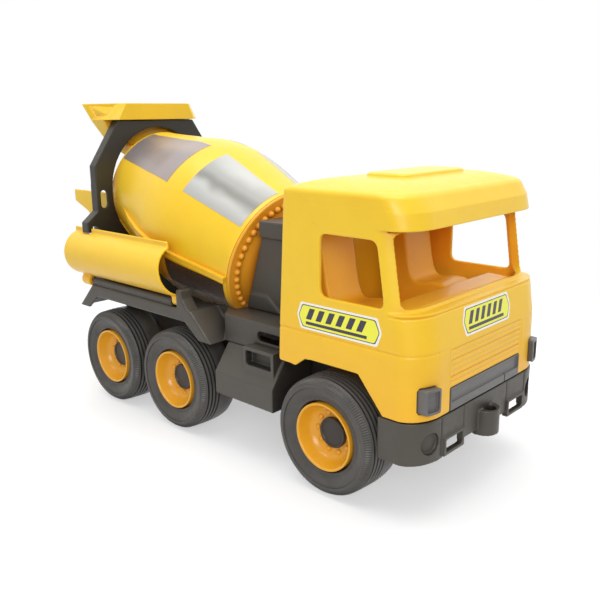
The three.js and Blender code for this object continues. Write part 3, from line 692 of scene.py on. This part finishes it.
def drum():
    piece("drum_upper_skin", drum_half(SEAM_TURN), YELLOW, "drum", "yellow_plastic", "drum_upper_shell")
    piece("drum_lower_skin", drum_half(SEAM_TURN + 180), YELLOW, "drum", "yellow_plastic", "drum_lower_shell")
    # The front plate is yellow plastic, shown in its copy painted darker as shade.
    piece("drum_front_skin", drum_front(), YELLOW_PAINTED_SHADE, "drum", "yellow_plastic", "drum_front_plate")
    # Painted reflections: the light and dark bands in each foil's stops stand for what the foil reflects.
    silver = [(0, (0.47, 0.47, 0.45)), (0.18, (0.5, 0.5, 0.48)), (0.42, (0.2, 0.2, 0.18))]
    silver += [(0.62, (0.3, 0.3, 0.28)), (1, (0.52, 0.52, 0.5))]
    mauve = [(0, (0.42, 0.36, 0.34)), (0.5, (0.35, 0.31, 0.31)), (0.75, (0.42, 0.35, 0.31))]
    mauve += [(1, (0.36, 0.31, 0.31))]
    # The low patches are the same silver foil, painted dark brown as the shade under the drum and the dark it
    # reflects.
    low_silver_painted_shade = [(0, (0.14, 0.09, 0.06)), (0.45, (0.26, 0.21, 0.19)), (0.8, (0.46, 0.36, 0.26))]
    low_silver_painted_shade += [(1, (0.5, 0.3, 0.1))]
    looks = {
        "silver": foil("silver_foil", silver, 0.2, 0.34),
        "mauve": foil("mauve_foil", mauve, 0.55, 0.34),
        "low_silver_painted_shade": foil("low_silver_foil_painted_shade", low_silver_painted_shade, 0.6, 0.3),
    }
    front, rear = (-57.7, -3), (-151, -76)
    patches = [
        ("foil_front_right", front, (-56.5, -14.5), "silver"),
        ("foil_rear_right", rear, (-56.5, -14.5), "mauve"),
        ("foil_front_left", front, (56.5, 14.5), "silver"),
        ("foil_rear_left", rear, (56.5, 14.5), "mauve"),
        ("foil_front_low_right", front, (-106, -145), "low_silver_painted_shade"),
        ("foil_front_low_left", front, (106, 145), "low_silver_painted_shade"),
    ]
    for name, stations, angles, look in patches:
        piece(name, wrapped(stations, angles), looks[look], "drum", "silver_foil")


# ---------- cab ----------
CAB_HALF = 70.9
CAB_LOW = 61.3
BELT = 120.5
VISOR_LOW = 163.8
ROOF = 187.3
WALL = 2.5
CORNER_ALONG = 14.8
CORNER_ACROSS = 22
CORNER_STEPS = 22
CAB_MIDDLE = Vector((95, 0, 140))


def cab_ring(level, inset=0.0):
    """The cab's plan at one level (z, rear, front, half width), with broad round front corners."""
    z, rear, front, half = level
    rear, front, half = rear + inset, front - inset, half - inset
    side = []
    for i in range(CORNER_STEPS + 1):
        turn = math.pi / 2 * i / CORNER_STEPS
        x = front - CORNER_ALONG * (1 - math.cos(turn))
        y = half - CORNER_ACROSS * (1 - math.sin(turn))
        side.append((x, y, z))
    side += [(x, y, z) for x, y in arc(rear + 3, half - 3, 3, 90, 180, 5)]
    return side + [(x, -y, z) for x, y, z in reversed(side)]


LOWER_CAB = [(CAB_LOW, 47.7, 152.8, CAB_HALF), (98.4, 49.3, 152.4, CAB_HALF), (BELT, 50.7, 149.2, CAB_HALF)]
PILLARS = [(BELT, 50.7, 143.4, CAB_HALF), (VISOR_LOW, 53.4, 136.4, CAB_HALF)]
ROOF_EDGE = 182.9
ROOF_FRONT = 137.6
EDGE_RADIUS = 3.2
CROWN_REACH = {"rear": 21, "front": 22, "side": 27}
ROOF_STEPS = 10
LAMP_Y = (53.7, 64.7)
LAMP_Z = (66, 80.4)
LAMP_PROUD = 2.8
GRILLE_HALF = 40
GRILLE_Z = (61.6, 75.1)


def cab_band(low, high, proud, depth=None):
    """The space between two copies of the cab's plan round its front, or all inside the outer one."""
    levels = [(z, 110, 152.8 + proud, CAB_HALF + proud) for z in (low, high)]
    outer = loft([cab_ring(level) for level in levels])
    if depth is None:
        return outer
    levels = [(low - 1, *levels[0][1:]), (high + 1, *levels[1][1:])]
    return cut(outer, loft([cab_ring(level, depth) for level in levels]))


def level_at(z):
    """The lower cab's plan at a height."""
    for low, high in zip(LOWER_CAB, LOWER_CAB[1:]):
        if z <= high[0]:
            t = (z - low[0]) / (high[0] - low[0])
            return tuple(a + (b - a) * t for a, b in zip(low, high))
    return LOWER_CAB[-1]


def roof_levels(top):
    """The visor, a tight edge, then a gently crowned top; top is the height of its middle."""
    levels = [(VISOR_LOW, 53.4, 145.3, CAB_HALF), (173, 54, 143.3, CAB_HALF)]
    edge = ROOF_EDGE + top - ROOF
    for i in range(ROOF_STEPS + 1):
        turn = math.radians(80) * i / ROOF_STEPS
        back = EDGE_RADIUS * (1 - math.cos(turn))
        z = edge + EDGE_RADIUS * (math.sin(turn) - 1)
        front = ROOF_FRONT + (143.3 - ROOF_FRONT) * (ROOF_EDGE - z) / (ROOF_EDGE - 173)
        levels.append((z, 54.5 + back, front - back, CAB_HALF - back))
    _, rear, front, half = levels[-1]
    for i in range(1, ROOF_STEPS + 1):
        u = i / ROOF_STEPS
        z = edge + (top - edge) * (2 * u - u * u)
        rear_in, front_in, side_in = (CROWN_REACH[name] * u for name in ("rear", "front", "side"))
        levels.append((z, rear + rear_in, front - front_in, half - side_in))
    return levels


def seam_cutter(low, high, depth):
    """A shallow groove right round the lower cab between two heights."""
    outer = loft([cab_ring(level_at(z), -4) for z in (low, high)])
    reach = 1
    inner_levels = []
    for z, at in ((low - reach, low), (high + reach, high)):
        inner_levels.append((z, *level_at(at)[1:]))
    return cut(outer, loft([cab_ring(level, depth) for level in inner_levels]))


def lined(body):
    """The shell with its inner faces, seen through the windows, in the second material: the inner yellow,
    painted brighter as light.
    """
    for face in body.faces:
        spot = face.calc_center_median()
        inside = abs(spot.y) < CAB_HALF - 1.9 and 56 < spot.x < 134 and 95 < spot.z < 183
        face.material_index = 1 if inside and face.normal.dot(spot - CAB_MIDDLE) < 0 else 0
    return body


def cab_shell():
    def skin(levels):
        return loft([cab_ring(level) for level in levels])

    def core(levels, drop, lift):
        rings = []
        for i, (z, *rest) in enumerate(levels):
            z = z - (drop if i == len(levels) - 1 else 0) - (lift if i == 0 else 0)
            rings.append(cab_ring((z, *rest), WALL))
        return loft(rings)

    roof, ceiling = roof_levels(ROOF), roof_levels(ROOF - WALL)

    hatch = prism(rectangle(84, 114, -33, 33, 7), "Z", ROOF - 2, ROOF + 1.6)
    hatch_top = prism(rectangle(85.2, 112.8, -31.8, 31.8, 6), "Z", ROOF, ROOF + 2.4)
    outside = combined(skin(LOWER_CAB), "UNION", skin(PILLARS), skin(roof), hatch, hatch_top)
    inside = combined(core(LOWER_CAB, WALL, 10), "UNION", core(PILLARS, 0, WALL + 1), core(ceiling, 0, 1))
    window = rounded([(83.3, 122), (128.8, 122), (123.1, 158.3), (83.3, 158.3)], 5)
    side_windows = prism(window, "Y", -90, 90)
    windscreen = prism(rectangle(-66.6, 66.6, BELT + 1.5, VISOR_LOW - 1.5, 5), "X", 127, 160)
    arch = [(30, 40), (128.8, 40), (128.8, CAB_LOW), (111.4, 82), (77.5, 82), (71, 81.5), (63.6, 76)]
    arch.append((30, 77.8))
    arches = prism(arch, "Y", -90, 90)
    grille = block((140, 160), (-40.3, 40.3), (CAB_LOW - 1, 75.4))
    lamps = []
    for turn in SIDES.values():
        edges = sorted((turn * (LAMP_Y[0] - 0.3), turn * (LAMP_Y[1] + 0.3)))
        opening = rectangle(*edges, LAMP_Z[0] - 0.3, LAMP_Z[1] + 0.3, 1.6)
        lamps.append(prism(opening, "X", 136, 160))
    seams = [
        cut(seam_cutter(97.8, 99, 1.1), block((140, 170), (-41, 41), (90, 110))),
        combined(seam_cutter(118.2, 119.4, 0.8), "INTERSECT", block((131, 170), (-90, 90), (110, 125))),
    ]
    grooves = []
    for turn in SIDES.values():
        y = sorted((turn * (CAB_HALF - 0.8), turn * 80))
        grooves.append(block((58, 141), y, (174.4, 175.4)))
        grooves.append(block((63, 79.5), y, (163.2, 164.1)))
        grooves.append(block((62.3, 63.3), y, (100, 163.6)))
        grooves.append(block((78.6, 79.5), y, (121, 163.6)))
    louvres = []
    for k in range(7):
        z = 77.6 + 3.1 * k
        louvres.append(prism([(152.4 - 1.4, z), (156, z), (156, z + 1.5), (152.3, z + 1.5)], "Y", -40, 40))
    panel = [block((151.4, 156), sorted((turn * 41, turn * 42.2)), (75, 99)) for turn in SIDES.values()]
    body = cut(outside, inside, side_windows, windscreen, arches, grille, *lamps)
    body = softened(cut(body, *seams, *grooves, *louvres, *panel), 0.56, passes=2, keep=0.33)
    return lined(body)


def label(name, outline, mark, along, up, middle):
    """A printed label in layers: white edge, navy line, lemon field and a plain mark of slanted bars."""

    def inset(by):
        return [(a - math.copysign(by, a), b - math.copysign(min(by, abs(b)), b)) for a, b in outline]

    layers = [(inset(0), 0), (inset(1.3), 1), (inset(1.8), 2)] + [(shape, 1) for shape in mark]
    bodies = []
    for i, (shape, look) in enumerate(layers):
        top = 0.12 + 0.04 * min(i, 3)
        layer = prism(rounded(shape, 1.2 if i < 3 else 0.3, 4), "Z", -0.3, top)
        for face in layer.faces:
            face.material_index = look
        bodies.append(layer)
    facing = Matrix((along, up, along.cross(up))).transposed().to_4x4()
    body = moved(joined(*bodies), Matrix.Translation(middle) @ facing)
    piece(name, body, [WHITE_INK, NAVY_INK, LEMON_INK], "truck", "printed_label")


def bars(low, high, bottom, top, count, lean=3.2):
    """A row of slanted bars with a long bar beneath."""
    pitch = (high - low) / count
    made = [[(low, bottom), (high, bottom), (high, bottom + 1.8), (low, bottom + 1.8)]]
    base = bottom + 3.2
    for k in range(count):
        a = low + k * pitch
        made.append([(a, base), (a + pitch * 0.55, base), (a + pitch * 0.55 + lean, top), (a + lean, top)])
    return made


def labels():
    half_long, tip, half_high = 28, 3, 8.1
    door = [(-half_long, -half_high), (half_long, -half_high), (half_long + tip, 0), (half_long, half_high)]
    door += [(-half_long, half_high), (-half_long - tip, 0)]
    mark = bars(-24, 21, -5, 5, 6)
    for side, turn in SIDES.items():
        middle = Vector((96.8, turn * CAB_HALF, 108.7))
        label(f"door_label_{side}", door, mark, Vector((-turn, 0, 0)), Vector((0, 0, 1)), middle)
    slope = (152.4 - 149.2) / (BELT - 98.4)
    up = Vector((-slope, 0, 1)).normalized()
    z = 109.5
    middle = Vector((152.4 - slope * (z - 98.4), 0, z))
    front = [(-24.6, -8.4), (24.6, -8.4), (27.4, 0), (24.6, 8.4), (-24.6, 8.4), (-27.4, 0)]
    label("front_label", front, bars(-21.5, 18.5, -5.2, 5.2, 6), Vector((0, 1, 0)), up, middle)


def headlight(side):
    turn = SIDES[side]
    edges = sorted((turn * LAMP_Y[0], turn * LAMP_Y[1]))
    face = prism(rectangle(*edges, *LAMP_Z, 1.6), "X", 130, 160)
    body = combined(cab_band(*LAMP_Z, LAMP_PROUD, 5), "INTERSECT", face)
    inner = sorted((turn * (LAMP_Y[0] + 1.5), turn * (LAMP_Y[1] - 1.5)))
    well = prism(rectangle(*inner, LAMP_Z[0] + 1.5, LAMP_Z[1] - 1.5, 0.9), "X", 130, 160)
    dip = combined(well, "DIFFERENCE", cab_band(LAMP_Z[0] - 2, LAMP_Z[1] + 2, LAMP_PROUD - 1.4))
    ribs = [block((130, 160), inner, (z, z + 0.5)) for z in (69.6, 72.9, 76.2)]
    fine = combined(joined(*ribs), "DIFFERENCE", cab_band(LAMP_Z[0] - 2, LAMP_Z[1] + 2, LAMP_PROUD - 1.8))
    return softened(cut(body, dip, fine), 0.3, passes=1, keep=0.4)


def grille():
    window = block((140, 160), (-GRILLE_HALF, GRILLE_HALF), GRILLE_Z)
    body = combined(cab_band(*GRILLE_Z, 0.4, 4), "INTERSECT", window)
    upper = block((151.9, 160), (-GRILLE_HALF + 1, GRILLE_HALF - 1), (66.5, 74.4))
    notch = block((151.4, 160), (21.5, 22.5), (61, 67))
    return softened(cut(body, upper, notch), 0.35, passes=2, keep=0.4)


def bumper():
    low, high, centre_low = 36, CAB_LOW - 0.5, 40
    band = cut(cab_band(low, high, 0.5, 2.8), block((100, 126), (-90, 90), (0, 90)))
    band = cut(band, block((130, 170), (-47, 47), (low - 1, centre_low)))
    adds = []
    cuts = []
    for turn in SIDES.values():
        adds.append(block((151, 154.6), sorted((turn * 25.8, turn * 47)), (37, 48)))
        window = rectangle(*sorted((turn * 27.8, turn * 45)), 38.8, 46.4, 1.2)
        cuts.append(prism(window, "X", 140, 165))
        fog = [(turn * (57.2 + 6.2 * a), 47.5 + 6.5 * b) for a, b in arc(0, 0, 1, 0, 360, 48)[1:]]
        cuts.append(combined(prism(fog, "X", 130, 160), "DIFFERENCE", cab_band(20, 70, -1.6)))
        cuts.append(block((152.3, 160), sorted((turn * 48, turn * 49)), (38, 62)))
        cuts.append(block((152.2, 160), sorted((turn * 24.6, turn * 25.8)), (38, 62)))
    hitch_half = 9
    tip = 161.5
    hitch = moved(disc([(0, 36.5), (hitch_half, 36.5), (hitch_half, 52), (0, 52)], "Z", 48),
                  Matrix.Translation((tip - hitch_half, 0, 0)))
    hitch = combined(hitch, "UNION", block((151, tip - hitch_half), (-hitch_half, hitch_half), (36.5, 52)))
    eye = moved(disc([(0, 30), (4.1, 30), (4.1, 60), (0, 60)], "Z", 40), Matrix.Translation((tip - 6, 0, 0)))
    body = cut(combined(band, "UNION", *adds), *cuts)
    body = combined(body, "UNION", cut(hitch, eye))
    return softened(body, 0.5, passes=2, keep=0.4)


def interior():
    """The CAD's floor and dash with two seats that have a rounded cushion and a curved back."""
    plain = []
    seats = []
    front = [(107, 97), (108.3, 107), (105, 113.6), (96, 115), (86, 113.4), (80.5, 115), (77, 123)]
    front += [(74.2, 138), (71.8, 151), (69, 157.6), (64.5, 160), (61, 156.5)]
    outline = [(60, 94), (106, 94), *curve(front, 5)]
    for turn in SIDES.values():
        plain.append(block((58, 112), sorted((turn * 25.5, turn * 57.5)), (96, 170)))
        seats.append(prism(outline, "Y", *sorted((turn * 26.5, turn * 56.5))))
    return softened(combined(cut(cad_copy("cab_interior"), *plain), "UNION", *seats), 0.8, passes=8, keep=0.3)


def cab():
    piece("cab_skin", cab_shell(), [YELLOW, INTERIOR_PAINTED_LIGHT], "truck", "yellow_plastic", "cab_shell")
    for side in SIDES:
        piece(f"headlight_skin_{side}", headlight(side), GREY, "truck", "grey_plastic", f"headlight_{side}")
    piece("grille_skin", grille(), GREY, "truck", "grey_plastic", "grille_insert")
    piece("bumper_skin", bumper(), DARK, "truck", "dark_plastic", "front_bumper")
    piece("interior_skin", interior(), INTERIOR_PAINTED_LIGHT, "truck", "interior_plastic", "cab_interior")
    labels()


# ---------- deck, boxes, frame, hopper, spout and chute ----------
def moulding(node, look, slot, cell=0.7, passes=3, keep=0.35, body="truck", cuts=()):
    """The CAD node's shape with details cut in, softened into one moulding."""
    shape = cad_copy(node)
    if cuts:
        shape = cut(shape, *cuts)
    return piece(f"{node}_skin", softened(shape, cell, passes, keep), look, body, slot, node)


# The hopper's plan at four heights: z, then its front, corner and rear points on the left side.
HOPPER = [
    (200, (-169.5, 26), (-171, 31), (-182, 33)),
    (219.9, (-169.5, 37), (-171, 43.5), (-188.5, 44)),
    (220, (-157.4, 37.6), (-163, 44.5), (-188.5, 44)),
    (232.8, (-156, 30.8), (-160.2, 35.3), (-196, 47)),
]
SHELF_FLOOR = 221.5
FUNNEL_START = 222.1
PAST_FOOT = 4
PAST_TOP = 3


def hopper_ring(level):
    z, *points = level
    half = [(x, y, z) for x, y in points]
    return half + [(x, -y, z) for x, y, z in reversed(half)]


def hopper_inside(low, high, z):
    """The inner plan at a height on, or past, the slope between two levels, a wall's thickness in."""
    t = (z - low[0]) / (high[0] - low[0])
    at = [Vector(a).lerp(Vector(b), t) for a, b in zip(low[1:], high[1:])]
    steps = [Vector((-2, -1.2)), Vector((-1.2, -2)), Vector((2, -2))]
    return (z, *(tuple(point + step) for point, step in zip(at, steps)))


def hopper():
    """A funnel open above and below, with a slide that leads forward into the drum's mouth."""
    foot, shelf, brim, top = HOPPER
    inner = [
        hopper_inside(foot, shelf, foot[0] - PAST_FOOT),
        (SHELF_FLOOR, *hopper_inside(foot, shelf, shelf[0])[1:]),
        hopper_inside(brim, top, FUNNEL_START),
        hopper_inside(brim, top, top[0] + PAST_TOP),
    ]
    outside, inside = (loft([hopper_ring(level) for level in levels]) for levels in (HOPPER, inner))
    funnel = cut(outside, inside)
    slide = [(-185, 203), (-185, 197), (-158, 187), (-158, 189), (-182, 199.5), (-182, 203)]
    cheek = [(-185, 203), (-185, 197), (-158, 187), (-158, 196), (-170, 203)]
    cheeks = [prism(cheek, "Y", *sorted((turn * 24, turn * 26))) for turn in SIDES.values()]
    return combined(funnel, "UNION", prism(slide, "Y", -26, 26), *cheeks)


def mouldings():
    moulding("deck", DARK, "dark_plastic", 0.7)
    for side in SIDES:
        moulding(f"side_box_{side}", DARK, "dark_plastic", 0.6)
    moulding("drum_pedestal", DARK, "dark_plastic", 0.7)
    moulding("chassis_frame", DARK, "dark_plastic", 0.9)
    oval = [(46.8 * a, 163.2 + 50.6 * b) for a, b in arc(0, 0, 1, 0, 360, 160)[1:]]
    hole = prism(oval, "X", -172, -156)
    # The rear frame takes the dark plastic's copy painted darker as shade.
    moulding("rear_frame", DARK_PAINTED_SHADE, "dark_plastic", 0.6, cuts=[hole])
    piece("hopper_skin", softened(hopper(), 0.45), YELLOW, "truck", "yellow_plastic", "hopper")
    moulding("discharge_spout", YELLOW, "yellow_plastic", 0.5)
    moulding("chute", YELLOW, "yellow_plastic", 0.5, passes=6, body="chute")


# ---------- studio ----------
def backdrop():
    """A white room: the wall behind the truck is brightly lit, the side it is seen from is dimmer."""
    world = bpy.data.worlds.new("studio")
    bpy.context.scene.world = world
    world.use_nodes = True
    tree = world.node_tree
    direction = tree.nodes.new("ShaderNodeTexCoord").outputs["Generated"]
    along = tree.nodes.new("ShaderNodeVectorMath")
    along.operation = "DOT_PRODUCT"
    along.inputs[1].default_value = (-0.66, 0.7, 0.26)
    tree.links.new(direction, along.inputs[0])
    wall = tree.nodes.new("ShaderNodeMapRange")
    for name, value in (("From Min", -0.3), ("From Max", 0.9), ("To Min", 0.43), ("To Max", 1.4)):
        wall.inputs[name].default_value = value
    tree.links.new(along.outputs["Value"], wall.inputs["Value"])
    light = tree.nodes["Background"]
    light.inputs["Color"].default_value = (1, 1, 1, 1)
    tree.links.new(wall.outputs["Result"], light.inputs["Strength"])
    seen = tree.nodes.new("ShaderNodeBackground")
    seen.inputs["Color"].default_value = (1, 1, 1, 1)
    paths = tree.nodes.new("ShaderNodeLightPath")
    mix = tree.nodes.new("ShaderNodeMixShader")
    tree.links.new(paths.outputs["Is Camera Ray"], mix.inputs["Fac"])
    tree.links.new(light.outputs[0], mix.inputs[1])
    tree.links.new(seen.outputs[0], mix.inputs[2])
    tree.links.new(mix.outputs[0], tree.nodes["World Output"].inputs["Surface"])


def studio():
    backdrop()

    def area(name, spot, target, size, power):
        data = bpy.data.lights.new(name, "AREA")
        data.shape = "RECTANGLE"
        data.size, data.size_y = size
        data.energy = power
        made = bpy.data.objects.new(name, data)
        made.location = spot
        made.rotation_euler = (Vector(target) - Vector(spot)).to_track_quat("-Z", "Y").to_euler()
        bpy.context.scene.collection.objects.link(made)

    area("overhead", (0.1, -0.1, 1.3), (0.02, 0, 0.1), (1.3, 1.0), 10)
    area("key", (0.97, -1.0, 0.66), (0.05, 0, 0.12), (0.8, 0.6), 9.3)

    reach = 2
    data = bpy.data.meshes.new("floor")
    corners = [(-reach, -reach, 0), (reach, -reach, 0), (reach, reach, 0), (-reach, reach, 0)]
    data.from_pydata(corners, [], [(0, 1, 2, 3)])
    floor = bpy.data.objects.new("floor", data)
    bpy.context.scene.collection.objects.link(floor)
    look = Look("pale_floor", 0.7)
    look.colour(look.mix(look.spread(look.noise(3, 2), 0, 1), (0.95, 0.95, 0.95), (0.97, 0.97, 0.97)))
    # The floor thins out into the white room with distance from the truck.
    radius = look.node("ShaderNodeVectorMath", operation="LENGTH")
    look.link(look.place, radius.inputs[0])
    look.link(look.spread(radius.outputs["Value"], 0.52, 0, 0.24, 0.55), look.shader.inputs["Alpha"])
    data.materials.append(look.material)


def camera():
    """The view from the front right, a little above the roof."""
    azimuth, elevation, roll = (math.radians(a) for a in (43.2715, 14.4805, -0.6574))
    back = Vector((
        math.sin(azimuth) * math.cos(elevation),
        -math.cos(azimuth) * math.cos(elevation),
        math.sin(elevation),
    ))
    right = (-back).cross(Vector((0, 0, 1))).normalized()
    up = right.cross(-back)
    turned_right = right * math.cos(roll) + up * math.sin(roll)
    turned_up = up * math.cos(roll) - right * math.sin(roll)
    data = bpy.data.cameras.new("camera")
    data.lens = 43.085
    data.sensor_width = 36
    made = bpy.data.objects.new("camera", data)
    made.matrix_world = Matrix((turned_right, turned_up, back)).transposed().to_4x4()
    made.location = Vector((347.11, -367.26, 222.51)) * MM + ORIGIN
    bpy.context.scene.collection.objects.link(made)
    bpy.context.scene.camera = made
    bpy.context.scene.view_settings.view_transform = "Standard"


def carried_over():
    """The CAD nodes that keep their own shape get a finished material."""
    for sub in frame["record"]["subparts"]:
        node = nodes[sub["node"]]
        node.data.materials.clear()
        node.data.materials.append(SLOT_LOOKS[sub["material_slot"]])


camera()
studio()
carried_over()
wheels()
drum()
cab()
mouldings()
